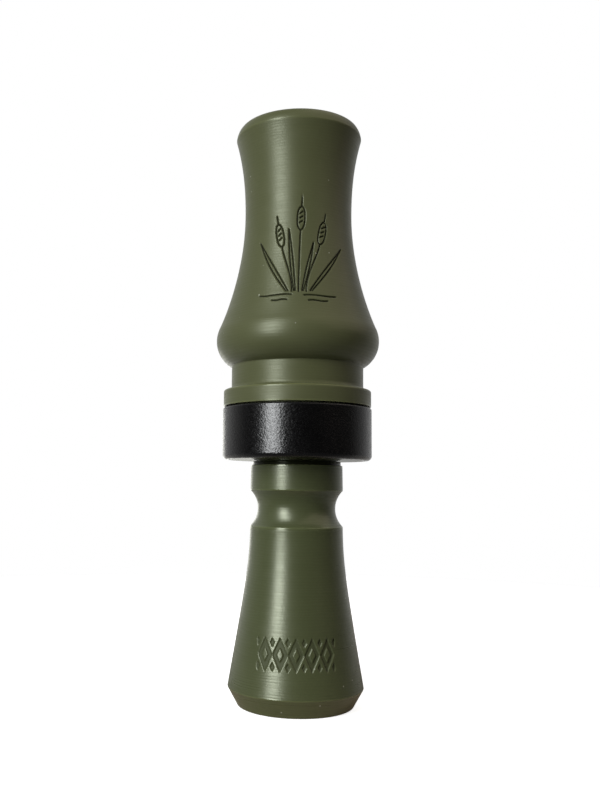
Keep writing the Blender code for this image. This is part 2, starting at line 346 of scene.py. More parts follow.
def polish_end(obj, height):
    """Marks the flat end at a height with the attribute "polished": turned smoother, with weaker grain on the
    band.
    """
    store(obj, "polished", np.abs(coordinates(obj)[:, 2] - height) < 0.02 * MM)


def evaluated_copy(obj):
    """Replaces the object's mesh with what its modifiers make of it."""
    bpy.context.view_layer.update()
    made = bpy.data.meshes.new_from_object(obj.evaluated_get(bpy.context.evaluated_depsgraph_get()))
    obj.modifiers.clear()
    obj.data = made
    made.shade_smooth()
    return obj


def prism(name, points, first, second, place):
    """A flat outline of (u, v) drawn out between two depths. place(u, v, depth) gives the vertex."""
    count = len(points)
    vertices = [place(u, v, first) for u, v in points] + [place(u, v, second) for u, v in points]
    faces = [tuple(range(count)), tuple(reversed(range(count, 2 * count)))]
    for i in range(count):
        after = (i + 1) % count
        faces.append((i, i + count, after + count, after))
    obj = new_object(name, vertices, faces)
    shape = bmesh.new()
    shape.from_mesh(obj.data)
    bmesh.ops.recalc_face_normals(shape, faces=shape.faces)
    shape.to_mesh(obj.data)
    shape.free()
    return obj


# Three ways to place a prism's (u, v, depth): drawn from the side, from above the reeds and from the end.


def side_view(height, rise, across):
    return (across, -rise, height)


def top_view(across, height, rise):
    return (across, -rise, height)


def end_view(across, rise, height):
    return (across, -rise, height)


def cut(obj, cutter):
    """Takes the cutter's shape out of the object and deletes the cutter."""
    boolean = obj.modifiers.new("Cut", "BOOLEAN")
    boolean.operation = "DIFFERENCE"
    boolean.object = cutter
    evaluated_copy(obj)
    bpy.data.objects.remove(cutter)


def softened(obj, voxel, passes):
    """Remeshes a solid finely and rubs its edges over, as a file or a tumbler would."""
    remesh = obj.modifiers.new("Remesh", "REMESH")
    remesh.mode = "VOXEL"
    remesh.voxel_size = voxel
    smooth = obj.modifiers.new("Smooth", "SMOOTH")
    smooth.factor = 0.5
    smooth.iterations = passes
    return evaluated_copy(obj)


def distance_to_stroke(points, stroke):
    """How far each 2D point lies from a line through the stroke's points."""
    nearest = np.full(len(points), np.inf)
    for a, b in zip(stroke[:-1], stroke[1:]):
        a, b = np.array(a), np.array(b)
        along = b - a
        share = np.clip((points - a) @ along / (along @ along), 0, 1)
        gap = np.linalg.norm(points - (a + share[:, None] * along), axis=1)
        nearest = np.minimum(nearest, gap)
    return nearest


def engrave(obj, distance, reach, centre_height, wall, depth, bank=0.16 * MM):
    """Sinks a drawing into the front of a turned wall.

    distance(points) says how far each (across, up) point lies outside the drawing's lines, below zero inside
    them. reach is the drawing's half size, wall the outer wall's least radius and bank the width of a cut's
    sloping side. The depth of the cut is kept on the mesh as the attribute "cut", from 0 to 1.
    """
    places = coordinates(obj)
    radius = np.hypot(places[:, 0], places[:, 1])
    turn = np.arctan2(places[:, 0], -places[:, 1])
    flat = np.stack([turn * radius, places[:, 2] - centre_height], axis=1)
    chosen = np.flatnonzero((radius > wall) & (np.abs(flat) < reach).all(axis=1))
    share = np.clip(0.5 - distance(flat[chosen]) / bank, 0, 1)
    sunk = np.zeros(len(places))
    sunk[chosen] = share**2 * (3 - 2 * share)
    places[:, :2] *= (1 - depth * sunk / np.maximum(radius, wall))[:, None]
    move_vertices(obj, places)
    store(obj, "cut", sunk)


# Ornament -----------------------------------------------------------------------------------------


def stroke(*points, count=14):
    """A smooth stroke, in metres, from four Bezier points given in millimetres."""
    return [(x * MM, y * MM) for x, y in curve(*points, count)]


def blade(foot, belly, tip, width):
    """The two sides of a grass blade, from its foot to its tip."""
    sides = []
    for side in (-1, 1):
        bowed = (belly[0] + side * width, belly[1])
        start = (foot[0] + side * width * 0.3, foot[1])
        sides.append(stroke(start, ((start[0] + bowed[0]) / 2, (start[1] + bowed[1]) / 2), bowed, tip))
    return sides


def cattail(top, lean, foot):
    """A cattail: its seed head with three ticks in it, the spike above and the stem below. In millimetres."""
    head_length, head_half_width = 5.4, 0.85
    spike_length = 2.0
    across = np.array((math.cos(lean), -math.sin(lean)))
    up = np.array((math.sin(lean), math.cos(lean)))
    outline = []
    for t in np.linspace(0, math.tau, 29):
        rise = (head_length / 2) * (math.copysign(abs(math.cos(t)) ** 0.7, math.cos(t)) - 1)
        outline.append(tuple((np.array(top) + across * head_half_width * math.sin(t) + up * rise) * MM))
    spike = [tuple(np.array(top) * MM), tuple((np.array(top) + up * spike_length) * MM)]
    neck = np.array(top) - up * head_length
    stem = stroke(tuple(neck), tuple(neck - up * 3.5), (foot[0], foot[1] + 4.5), foot)
    ticks = []
    tick_half = across * 0.35 + up * 0.25
    for rise in (-1.3, -2.4, -3.5):
        middle = np.array(top) + up * rise
        ticks.append([tuple((middle - tick_half) * MM), tuple((middle + tick_half) * MM)])
    return [outline, spike, stem] + ticks


def reed_bed():
    """A line drawing of cattails and blades standing in water, as strokes in metres."""
    strokes = []
    strokes += cattail((-4.7, 6.4), -0.17, (-1.5, -9.8))
    strokes += cattail((0.7, 10.4), 0.05, (0.0, -9.8))
    strokes += cattail((6.0, 7.0), 0.2, (1.7, -9.8))
    strokes += blade((-2.6, -9.6), (-6.4, -3.4), (-9.4, 2.6), 0.75)
    strokes += blade((-0.9, -9.6), (-1.7, -1.4), (-2.2, 5.2), 0.5)
    strokes += blade((0.9, -9.6), (2.3, -3.4), (3.4, 2.0), 0.5)
    strokes += blade((2.8, -9.6), (7.0, -3.8), (10.6, 1.2), 0.75)
    wave_rise, wave_handle = 0.35, 2
    for side, inner, outer, height in (
        (-1, 1.6, 9.0, -10.5),
        (1, 1.2, 8.6, -10.7),
        (-1, 2.6, 6.0, -11.7),
        (1, 2.2, 6.6, -11.9),
    ):
        start, end = side * inner, side * outer
        crest = (start + side * wave_handle, height + wave_rise)
        trough = (end - side * wave_handle, height - wave_rise)
        strokes.append(stroke((start, height), crest, trough, (end, height)))
    return strokes


def line_drawing(strokes, half_width):
    """The distance function of a set of strokes with one width."""

    def distance(points):
        nearest = np.full(len(points), np.inf)
        for points_of_stroke in strokes:
            nearest = np.minimum(nearest, distance_to_stroke(points, points_of_stroke))
        return nearest - half_width

    return distance


def diamond_distance(points, centre, half_width, half_height):
    """Distance outside an upright diamond."""
    away = np.abs(points - centre)
    slant = half_width * half_height / math.hypot(half_width, half_height)
    return (away[:, 0] / half_width + away[:, 1] / half_height - 1) * slant


def diamond_border(points):
    """Upright diamonds side by side with a raised diamond in each, and small ones above and below between."""
    count, pitch = 5, 3.5 * MM
    nearest = np.full(len(points), np.inf)
    for i in range(count):
        x = (i - (count - 1) / 2) * pitch
        outer = diamond_distance(points, (x, 0), 1.7 * MM, 3.5 * MM)
        inner = diamond_distance(points, (x, 0), 0.75 * MM, 1.5 * MM)
        nearest = np.minimum(nearest, np.maximum(outer, -inner))
    for i in range(count + 1):
        x = (i - count / 2) * pitch
        for y in (-2.5 * MM, 2.5 * MM):
            small = diamond_distance(points, (x, y), 0.5 * MM, 0.9 * MM)
            nearest = np.minimum(nearest, small)
    return nearest


# Turned pieces ------------------------------------------------------------------------------------


def lip_and_flare():
    """The barrel's outside from the lip's crest, over its edge and down to the waist."""
    lip = curve(
        (LIP_CREST_RADIUS, CALL_TOP),
        (LIP_CREST_RADIUS + 1.0 * MM, CALL_TOP),
        (LIP_RADIUS - 0.2 * MM, LIP_EDGE_HEIGHT + 1.4 * MM),
        (LIP_RADIUS, LIP_EDGE_HEIGHT),
        24,
    )
    lip[-1] = (*lip[-1], 0.4 * MM)
    flare = curve(
        (LIP_RADIUS, LIP_EDGE_HEIGHT),
        (LIP_RADIUS - 1.4 * MM, LIP_EDGE_HEIGHT - 5.0 * MM),
        (WAIST_RADIUS, WAIST_HEIGHT + 8.0 * MM),
        (WAIST_RADIUS, WAIST_HEIGHT),
        36,
    )
    return lip + flare[1:]


def slope_and_bulge():
    """The barrel's outside from the waist down to the neck, with fine rows where the drawing is."""
    bulge_centre = (BULGE_RADIUS - BULGE_ROUND, BULGE_HEIGHT)
    bulge_bottom_angle = math.acos((NECK_RADIUS - bulge_centre[0]) / BULGE_ROUND)
    bulge = arc(bulge_centre, BULGE_ROUND, BULGE_TOP_ANGLE, -bulge_bottom_angle, 40)
    bulge[-1] = (*bulge[-1], 0.25 * MM)
    slope_handle = 1.1 * MM
    slope = curve(
        (WAIST_RADIUS, WAIST_HEIGHT),
        (WAIST_RADIUS, WAIST_HEIGHT - 14.2 * MM),
        (bulge[0][0] - slope_handle * math.tan(BULGE_TOP_ANGLE), bulge[0][1] + slope_handle),
        bulge[0],
        900,
    )
    drawing_low = BARREL_DRAWING_HEIGHT - BARREL_DRAWING_REACH
    slope = spaced(slope, drawing_low, WAIST_HEIGHT, 0.12 * MM, 0.4 * MM)
    return slope + bulge[1:]


def barrel_outline():
    """Lip, flare down to the waist, slope, bulge, neck, collar, band seat, socket, bore and mouth dish."""
    lower_end = [
        (NECK_RADIUS, COLLAR_TOP, 0.9 * MM),
        (COLLAR_RADIUS, COLLAR_TOP, 0.45 * MM),
        (COLLAR_RADIUS, COLLAR_BOTTOM, 0.1 * MM),
        (BAND_SEAT_RADIUS, COLLAR_BOTTOM, 0.1 * MM),
        (BAND_SEAT_RADIUS, BARREL_END, 0.3 * MM),
        (SOCKET_RADIUS + 0.4 * MM, BARREL_END, 0.1 * MM),
        (SOCKET_RADIUS, BARREL_END + 0.4 * MM, 0.1 * MM),
        (SOCKET_RADIUS, BARREL_END + SOCKET_DEPTH, 0.1 * MM),
        (BARREL_BORE, BARREL_END + SOCKET_DEPTH + 1.0 * MM, 0.1 * MM),
    ]
    dish = curve(
        (BARREL_BORE, CALL_TOP - MOUTH_DISH_DEPTH),
        (BARREL_BORE, CALL_TOP - 2.6 * MM),
        (LIP_CREST_RADIUS - 2.6 * MM, CALL_TOP),
        (LIP_CREST_RADIUS, CALL_TOP),
        20,
    )
    return rounded(lip_and_flare() + slope_and_bulge()[1:] + lower_end + dish[:-1])


def barrel():
    angles = front_angles(math.radians(46), fine_step=math.radians(0.55), coarse_step=math.radians(3.4))
    obj = lathe("turned_barrel", barrel_outline(), angles)
    drawing = line_drawing(reed_bed(), half_width=0.15 * MM)
    engrave(
        obj,
        drawing,
        reach=BARREL_DRAWING_REACH,
        centre_height=BARREL_DRAWING_HEIGHT,
        wall=12.0 * MM,
        depth=0.3 * MM,
    )
    polish_end(obj, BARREL_END)
    return obj


def band():
    """The metal ring: a chamfer above, the blasted wall and a round lower edge."""
    wall_top = BAND_TOP - 0.55 * MM
    wall_bottom = BARREL_END + BAND_LOWER_ROUND
    wall = [(BAND_RADIUS, height) for height in np.linspace(wall_top, wall_bottom, BAND_WALL_ROWS)]
    round_centre = (BAND_RADIUS - BAND_LOWER_ROUND, wall_bottom)
    lower_round = arc(round_centre, BAND_LOWER_ROUND, 0, -math.pi / 2, 12)
    outline = rounded(
        [
            (BAND_INNER_RADIUS, BAND_TOP, 0.05 * MM),
            (BAND_RADIUS - 0.3 * MM, BAND_TOP, 0.12 * MM),
            (BAND_RADIUS, BAND_TOP - 0.3 * MM, 0.12 * MM),
        ]
        + wall
        + lower_round[1:]
        + [(BAND_INNER_RADIUS, BARREL_END, 0.05 * MM)]
    )
    obj = lathe("turned_band", outline, even_angles(720))
    blast_wall(obj)
    polish_end(obj, BARREL_END)
    return obj


def blast_wall(obj):
    """Pushes each point of the band's wall in or out a little at random."""
    places = coordinates(obj)
    radius = np.hypot(places[:, 0], places[:, 1])
    heights = places[:, 2]
    on_wall = (heights < BAND_TOP - 0.5 * MM) & (heights > BARREL_END + 0.5 * BAND_LOWER_ROUND)
    on_wall &= radius > BAND_RADIUS - 0.3 * MM
    random = np.random.default_rng(7)
    push = np.where(on_wall, random.normal(0, BLAST_DEPTH, len(places)), 0)
    push = np.clip(push, -BLAST_DEPTH_LIMIT, BLAST_DEPTH_LIMIT)
    places[:, :2] *= (1 + push / radius)[:, None]
    move_vertices(obj, places)


def o_ring_grooves():
    """Corners of the two grooves in the tenon, the upper one first."""
    corners = []
    for height in O_RING_HEIGHTS:
        for side, radius in (
            (1, TENON_RADIUS),
            (1, O_RING_GROOVE_FLOOR),
            (-1, O_RING_GROOVE_FLOOR),
            (-1, TENON_RADIUS),
        ):
            corners.append((radius, height + side * O_RING_GROOVE_HALF, 0.1 * MM))
    return corners


def lanyard_groove():
    """The arc between the stub and the bell, with both of its edges rounded."""
    half_height = (STUB_BOTTOM - BELL_TOP) / 2
    radius = (half_height**2 + LANYARD_GROOVE_DEPTH**2) / (2 * LANYARD_GROOVE_DEPTH)
    half_angle = math.asin(half_height / radius)
    centre = (BELL_TOP_RADIUS + radius * math.cos(half_angle), BELL_TOP + half_height)
    groove = arc(centre, radius, math.pi - half_angle, math.pi + half_angle, 24)
    groove[0] = (*groove[0], 0.25 * MM)
    groove[-1] = (*groove[-1], 0.25 * MM)
    return groove


def bell_wall():
    """The bell's outside, from the lanyard groove to the rim. Low down it has fine rows and tool ridges."""
    wall = curve(
        (BELL_TOP_RADIUS, BELL_TOP),
        (BELL_TOP_RADIUS, BELL_TOP - 9.0 * MM),
        (BELL_RADIUS - 3.3 * MM, BELL_EDGE_HEIGHT + 19.6 * MM),
        (BELL_RADIUS, BELL_EDGE_HEIGHT),
        1200,
    )
    wall = spaced(wall, 0, BELL_DRAWING_HEIGHT + BELL_DRAWING_REACH / 2, 0.11 * MM, 0.35 * MM)
    return rippled(wall, pitch=0.52 * MM, depth=0.006 * MM, top=BELL_DRAWING_HEIGHT - 2.0 * MM)


def end_piece_outline():
    """Tenon with two O-ring grooves, recess, stub, lanyard groove, bell, its rim, exhaust and bore."""
    tenon_tip = [
        (SPIGOT_BORE, TENON_TOP, 0.1 * MM),
        (TENON_RADIUS - 0.4 * MM, TENON_TOP, 0.1 * MM),
        (TENON_RADIUS, TENON_TOP - 0.4 * MM, 0.1 * MM),
    ]
    stub = [
        (TENON_RADIUS, SHOULDER, 0.1 * MM),
        (SHOULDER_RADIUS, SHOULDER, 0.1 * MM),
        (SHOULDER_RADIUS, SHOULDER - SHOULDER_STEP, 0.1 * MM),
        (STUB_RADIUS, SHOULDER - SHOULDER_STEP, 0.12 * MM),
    ]
    rim = [
        (BELL_RADIUS, BELL_EDGE_HEIGHT, 0.7 * MM),
        (BELL_RIM_RADIUS, 0.1 * MM, 0.9 * MM),
        (BELL_RIM_RADIUS - 0.6 * MM, 0, 0.2 * MM),
        (BELL_BORE_RADIUS + 0.4 * MM, 0, 0.2 * MM),
    ]
    exhaust = curve(
        (BELL_BORE_RADIUS, 0.4 * MM),
        (BELL_BORE_RADIUS - 3.0 * MM, 17.0 * MM),
        (THROAT_RADIUS, 28.0 * MM),
        (THROAT_RADIUS, THROAT_START),
        30,
    )
    bore = [(THROAT_RADIUS, SPIGOT_BORE_BOTTOM), (SPIGOT_BORE, SPIGOT_BORE_BOTTOM)]
    # The groove and the rim already have the wall's ends, and the groove's rounding needs a little room.
    bell = bell_wall()[2:-1]
    return rounded(tenon_tip + o_ring_grooves() + stub + lanyard_groove() + bell + rim + exhaust + bore)


def end_piece():
    angles = front_angles(math.radians(42), fine_step=math.radians(0.52), coarse_step=math.radians(4.0))
    obj = lathe("turned_end_piece", end_piece_outline(), angles)
    engrave(
        obj,
        diamond_border,
        reach=BELL_DRAWING_REACH,
        centre_height=BELL_DRAWING_HEIGHT,
        wall=10.8 * MM,
        depth=0.26 * MM,
    )
    # Painted shade: the recess under the band is darkened as if in the band's shadow.
    paint_recess_shade(obj)
    return obj


def paint_recess_shade(obj):
    """Marks the narrow recess between the stub and the barrel with an attribute for painted shade, where the
    band's shadow falls.
    """
    places = coordinates(obj)
    radius = np.hypot(places[:, 0], places[:, 1])
    depth = SHOULDER - places[:, 2]
    store(obj, "painted_shade", (radius > TENON_RADIUS) & (depth > 0.02 * MM) & (depth < SHOULDER_STEP + 0.06 * MM))


def o_ring(name, height):
    """A moulded ring: a round section with the thin ridge of the mould's parting line."""
    section = []
    for angle in np.linspace(math.tau, 0, 49)[:-1]:
        flash = FLASH_HEIGHT * math.exp(-((math.sin(angle) * O_RING_SECTION / (0.06 * MM)) ** 2))
        reach = O_RING_SECTION + flash
        section.append((O_RING_CENTRE + reach * math.cos(angle), height + reach * math.sin(angle)))
    return lathe(name, section, even_angles(160))


# Inner pieces -------------------------------------------------------------------------------------


def tone_board_rod():
    """Spigot and rod before milling. The rows on the axis are drawn together into single points."""
    outline = rounded(
        [
            (0, TONE_BOARD_TIP),
            (TONE_BOARD_RADIUS, TONE_BOARD_TIP, 0.6 * MM),
            (TONE_BOARD_RADIUS, SEAT_HEIGHT, 0.2 * MM),
            (SPIGOT_RADIUS, SEAT_HEIGHT, 0.1 * MM),
            (SPIGOT_RADIUS, SPIGOT_END, 0.3 * MM),
            (0, SPIGOT_END),
        ]
    )
    rod = lathe("milled_tone_board", outline, even_angles(120))
    shape = bmesh.new()
    shape.from_mesh(rod.data)
    bmesh.ops.remove_doubles(shape, verts=shape.verts, dist=0.001 * MM)
    shape.to_mesh(rod.data)
    shape.free()
    return rod


def notch_cutter():
    """The notch for the wedge and everything above the curved surface that the reeds lie on."""
    clear = TONE_BOARD_RADIUS + 2.0 * MM
    length = TONE_BOARD_TIP - REED_HINGE_HEIGHT
    past_tip = 1.05
    surface = []
    for share in np.linspace(0, past_tip, 25):
        surface.append((REED_HINGE_HEIGHT + share * length, FLOOR_RISE - TIP_DROP * share**2))
    notch = [(NOTCH_BACK, FLOOR_RISE)] + surface
    notch += [
        (surface[-1][0], clear),
        (NOTCH_FRONT, clear),
        (NOTCH_FRONT, NOTCH_FRONT_RISE),
        (NOTCH_BACK, NOTCH_BACK_RISE),
    ]
    return prism("notch_cutter", notch, -clear, clear, side_view)


def channel_cutter():
    """The tone channel under the reeds, a slot with round ends."""
    slot = arc((0, CHANNEL_TIP_CENTRE), CHANNEL_HALF_WIDTH, 0, math.pi, 25)
    slot += arc((0, CHANNEL_BACK_CENTRE), CHANNEL_HALF_WIDTH, math.pi, math.tau, 25)
    return prism("channel_cutter", slot, CHANNEL_FLOOR_RISE, FLOOR_RISE + 1.0 * MM, top_view)


def airway_cutter():
    """The drilled hole from the channel out through the spigot."""
    drill = arc((0, AIRWAY_RISE), AIRWAY_RADIUS, 0, math.tau, 49)[:-1]
    return prism("airway_cutter", drill, SPIGOT_END - 1.0 * MM, CHANNEL_BACK_CENTRE, end_view)


def tone_board():
    """The board that the reeds lie on, milled from a rod, with its edges rubbed over."""
    rod = tone_board_rod()
    for make_cutter in (notch_cutter, channel_cutter, airway_cutter):
        cut(rod, make_cutter())
    return softened(rod, voxel=0.21 * MM, passes=3)


def reed_rows(tip):
    """Rows of (across, height) points over a reed's flat shape, with its rounded tip corners."""
    corner = tip - REED_CORNER_CUT
    heights = np.concatenate([np.linspace(REED_BACK, corner, 150), np.linspace(corner, tip, 16)[1:]])
    shares = np.linspace(-1, 1, 53)
    rows = []
    for height in heights:
        into = max(height - corner, 0) / REED_CORNER_CUT
        width = REED_HALF_WIDTH - REED_CORNER_CUT * (1 - math.sqrt(1 - (0.97 * into) ** 2))
        rows.append([(share * width, height) for share in shares])
    return rows


def sheet_faces(height_count, width_count):
    """Faces of a thin closed sheet. Its vertices are two grids, one after the other."""
    grid = np.arange(2 * height_count * width_count).reshape(2, height_count, width_count)
    faces = []
    for side in (0, 1):
        for i in range(height_count - 1):
            for j in range(width_count - 1):
                a, b = grid[side, i, j], grid[side, i, j + 1]
                c, d = grid[side, i + 1, j + 1], grid[side, i + 1, j]
                faces.append((a, b, c, d) if side else (d, c, b, a))
    border = [grid[:, 0, j] for j in range(width_count)]
    border += [grid[:, i, -1] for i in range(1, height_count)]
    border += [grid[:, -1, j] for j in range(width_count - 2, -1, -1)]
    border += [grid[:, i, 0] for i in range(height_count - 2, 0, -1)]
    for here, after in zip(border, border[1:] + border[:1]):
        faces.append((here[0], after[0], after[1], here[1]))
    return [[int(v) for v in face] for face in faces]


def reed(name, tip, rise, dimpled):
    """A thin strip of film. A dimpled one has a small pressed hollow in its upper side."""
    rows = reed_rows(tip)
    vertices = []
    for side in (0, 1):
        for row in rows:
            for across, height in row:
                lift = rise + side * REED_THICKNESS
                if dimpled and side:
                    away = math.hypot(across, height - DIMPLE_HEIGHT) / DIMPLE_RADIUS
                    lift -= DIMPLE_DEPTH * max(1 - away**2, 0) ** 1.5
                vertices.append((across, -lift, height))
    obj = new_object(name, vertices, sheet_faces(len(rows), len(rows[0])))
    obj.data.set_sharp_from_angle(angle=math.radians(40))
    return obj


def wedge():
    """A piece of cork cut by hand, pitted where grains have come out."""
    roof_slope = (NOTCH_FRONT_RISE - NOTCH_BACK_RISE) / (NOTCH_FRONT - NOTCH_BACK)
    bottom = -WEDGE_HIGH.y
    top = -WEDGE_LOW.y
    back_top = top - roof_slope * (min(NOTCH_FRONT, WEDGE_HIGH.z) - WEDGE_LOW.z)
    side = [
        (WEDGE_LOW.z, bottom),
        (WEDGE_HIGH.z, bottom),
        (WEDGE_HIGH.z, top),
        (NOTCH_FRONT, top),
        (WEDGE_LOW.z, back_top),
    ]
    obj = prism("cork_wedge", side, WEDGE_LOW.x, WEDGE_HIGH.x, side_view)
    softened(obj, voxel=0.13 * MM, passes=3)
    places = coordinates(obj)
    normals = np.empty(places.size)
    obj.data.vertices.foreach_get("normal", normals)
    grain_size = 0.8 * MM
    depths = np.empty(len(places))
    for i, place in enumerate(places / grain_size):
        grain = noise.noise(place)
        pit = max(noise.noise(place * 2.3 + 5.0) - 0.25, 0)
        depths[i] = 0.03 * MM * (grain + 1) + 0.35 * MM * pit
    move_vertices(obj, places - normals.reshape(-1, 3) * depths[:, None])
    return obj


# Materials ----------------------------------------------------------------------------------------


class Graph:
    """Adds nodes to a shader. An input is a plain value or another node's output."""

    def __init__(self, tree):
        self.tree = tree
        tree.nodes.clear()

    def add(self, kind, inputs=None, out=0, **settings):
        node = self.tree.nodes.new(kind)
        for key, value in settings.items():
            setattr(node, key, value)
        for key, value in (inputs or {}).items():
            if isinstance(value, bpy.types.NodeSocket):
                self.tree.links.new(value, node.inputs[key])
            else:
                node.inputs[key].default_value = value
        return node.outputs[out] if node.outputs else node

    def math(self, operation, a, b=0.0):
        return self.add("ShaderNodeMath", {0: a, 1: b}, operation=operation)

    def ramp(self, factor, stops):
        """stops is a list of (place, value or colour)."""
        output = self.add("ShaderNodeValToRGB", {"Fac": factor})
        elements = output.node.color_ramp.elements
        for i, (place, value) in enumerate(stops):
            element = elements[i] if i < len(elements) else elements.new(place)
            element.position = place
            element.color = (value, value, value, 1) if isinstance(value, (int, float)) else (*value, 1)
        return output

    def range(self, value, low, high, to_low, to_high):
        """Carries a value from one range into another, clamped at both ends."""
        inputs = {"Value": value, "From Min": low, "From Max": high, "To Min": to_low, "To Max": to_high}
        return self.add("ShaderNodeMapRange", inputs)

    def mix(self, factor, first, second):
        """Mixes two colours. Each is (r, g, b) or another node's output."""
        a, b = (c if isinstance(c, bpy.types.NodeSocket) else (*c, 1) for c in (first, second))
        return self.add("ShaderNodeMix", {0: factor, 6: a, 7: b}, data_type="RGBA", out=2)

    def attribute(self, name):
        """A number kept on the mesh. It is 0 where the mesh has none."""
        return self.add("ShaderNodeAttribute", attribute_name=name, out=2)

    def noise(self, place, scale, detail=2.0, roughness=0.5):
        inputs = {"Vector": place, "Scale": scale, "Detail": detail, "Roughness": roughness}
        return self.add("ShaderNodeTexNoise", inputs)

    def stretched(self, place, scale):
        """The place in millimetres times a scale for each axis."""
        return self.add("ShaderNodeMapping", {"Vector": place, "Scale": [s / MM for s in scale]})

    def bump(self, height, distance, normal=None):
        inputs = {"Height": height, "Strength": 1.0, "Distance": distance}
        if normal is not None:
            inputs["Normal"] = normal
        return self.add("ShaderNodeBump", inputs)

    def surface(self, **inputs):
        """The shader itself. Names have underscores for spaces."""
        named = {key.replace("_", " "): value for key, value in inputs.items()}
        shader = self.add("ShaderNodeBsdfPrincipled", named)
        self.add("ShaderNodeOutputMaterial", {"Surface": shader})


def new_material(name):
    """An empty material, its graph and the place on the object, in metres."""
    material = bpy.data.materials.new(name)
    material.use_nodes = True
    graph = Graph(material.node_tree)
    place = graph.add("ShaderNodeTexCoord", out=3)
    return material, graph, place


def shaded(colour, factor):
    """A colour made darker or lighter."""
    return tuple(c * factor for c in colour)


def tool_lines(graph, place):
    """Fine rings round the axis that wander and break up, from 0 to 1."""
    inputs = {
        "Vector": graph.stretched(place, (0.14, 0.14, 1.0)),
        "Scale": 0.5,
        "Distortion": 7.0,
        "Detail": 2.0,
        "Detail Scale": 1.6,
    }
    return graph.add("ShaderNodeTexWave", inputs, out=1, bands_direction="Z")


def plastic_colour(graph, place, colour, cut_shade):
    """Faintly clouded with dust on it, paler at worn edges, darker in the engraving, and with painted shade
    in the recess under the band.
    """
    cloud = graph.noise(place, 90.0, 3.0)
    specks = graph.add("ShaderNodeTexVoronoi", {"Vector": place, "Scale": 260.0})
    clouded = graph.mix(cloud, shaded(colour, 0.93), shaded(colour, 1.07))
    dusted = graph.mix(graph.range(specks, 0.03, 0.05, 0.7, 0.0), clouded, DUST_COLOUR)
    edged = graph.mix(graph.math("MULTIPLY", graph.attribute("worn"), 0.6), dusted, shaded(colour, 1.9))
    engraved = graph.mix(graph.attribute("cut"), edged, shaded(colour, cut_shade))
    # Painted shade: the recess under the band is darkened to a fifth of the colour.
    return graph.mix(graph.attribute("painted_shade"), engraved, shaded(colour, 0.2))


def plastic_roughness(graph, place, lines, roughness, line_contrast):
    """Varies with the tool lines and in wide bands. Cuts are rougher, worn edges and flat ends smoother."""
    line_part = graph.range(lines, 0.0, 1.0, -line_contrast, line_contrast)
    bands = graph.noise(graph.stretched(place, (0.02, 0.02, 1.0)), 0.45, 2.0)
    band_part = graph.range(bands, 0.3, 0.7, roughness - 0.025, roughness + 0.025)
    edge_part = graph.math("MULTIPLY", graph.attribute("worn"), -0.18)
    wall_roughness = graph.math("ADD", graph.math("ADD", line_part, band_part), edge_part)
    cut_part = graph.math("MULTIPLY", graph.attribute("cut"), 0.25)
    cut_roughness = graph.math("ADD", wall_roughness, cut_part)
    end_part = graph.range(graph.attribute("polished"), 0.0, 1.0, 1.0, 0.78)
    return graph.math("MULTIPLY", cut_roughness, end_part)


def turned_plastic(name, colour, roughness, ior, cut_shade, cut_gloss, line_depth, line_contrast):
    """Solid-coloured plastic off the lathe.

    cut_shade and cut_gloss are how dark and how shiny a cut is beside the plastic. line_depth is the depth of
    the tool lines and line_contrast what they do to the roughness.
    """
    material, graph, place = new_material(name)
    lines = tool_lines(graph, place)
    tooled = graph.bump(lines, line_depth)
    gritty = graph.bump(graph.noise(place, 5200.0, 1.0), 0.0012 * MM, tooled)
    streaked = graph.mix(lines, GLINT_TINT, shaded(GLINT_TINT, 0.89))
    cut_glint = graph.mix(graph.attribute("cut"), streaked, shaded(GLINT_TINT, cut_gloss))
    graph.surface(
        Base_Color=plastic_colour(graph, place, colour, cut_shade),
        Roughness=plastic_roughness(graph, place, lines, roughness, line_contrast),
        IOR=ior,
        Normal=gritty,
        # Painted shade: reflections in the recess under the band are mostly taken out.
        Specular_Tint=graph.mix(graph.attribute("painted_shade"), cut_glint, shaded(GLINT_TINT, 0.12)),
    )
    return material


def blasted_black(name):
    """Black anodised aluminium: fine grain over the wall's own pebble, a smoother flat end, paler edges."""
    material, graph, place = new_material(name)
    worn = graph.attribute("worn")
    polished = graph.attribute("polished")
    patches = graph.noise(place, 260.0, 4.0)
    shade = graph.ramp(patches, [(0.3, (0.0006, 0.0005, 0.0006)), (0.7, (0.0016, 0.0014, 0.0016))])
    edged = graph.mix(graph.math("MULTIPLY", worn, 0.35), shade, (0.02, 0.02, 0.022))

    beads = graph.add("ShaderNodeTexVoronoi", {"Vector": place, "Scale": 4500.0}, out=1)
    bead_roughness = graph.range(graph.add("ShaderNodeSeparateColor", {0: beads}), 0.0, 1.0, 0.17, 0.3)
    grain = graph.noise(place, 4200.0, 2.0, 0.6)
    pebbles = graph.math("MULTIPLY", grain, graph.range(polished, 0.0, 1.0, 1.0, 0.4))
    pebbled = graph.bump(pebbles, 0.02 * MM)
    graph.surface(Base_Color=edged, Roughness=bead_roughness, IOR=1.58, Normal=pebbled)
    return material


def mylar(name):
    """Reed film: a milky sheet that lets some light through, scuffed along its length."""
    material, graph, place = new_material(name)
    scuffs = graph.noise(graph.stretched(place, (6.0, 1.0, 0.25)), 1.0, 3.0, 0.7)
    haze = graph.noise(place, 140.0, 2.0)
    tint = graph.mix(haze, (0.72, 0.75, 0.7), (0.83, 0.85, 0.8))
    shine = graph.range(scuffs, 0.35, 0.7, 0.16, 0.34)
    scratched = graph.bump(scuffs, 0.002 * MM)
    graph.surface(Base_Color=tint, Roughness=shine, IOR=1.6, Normal=scratched, Transmission_Weight=0.55)
    return material


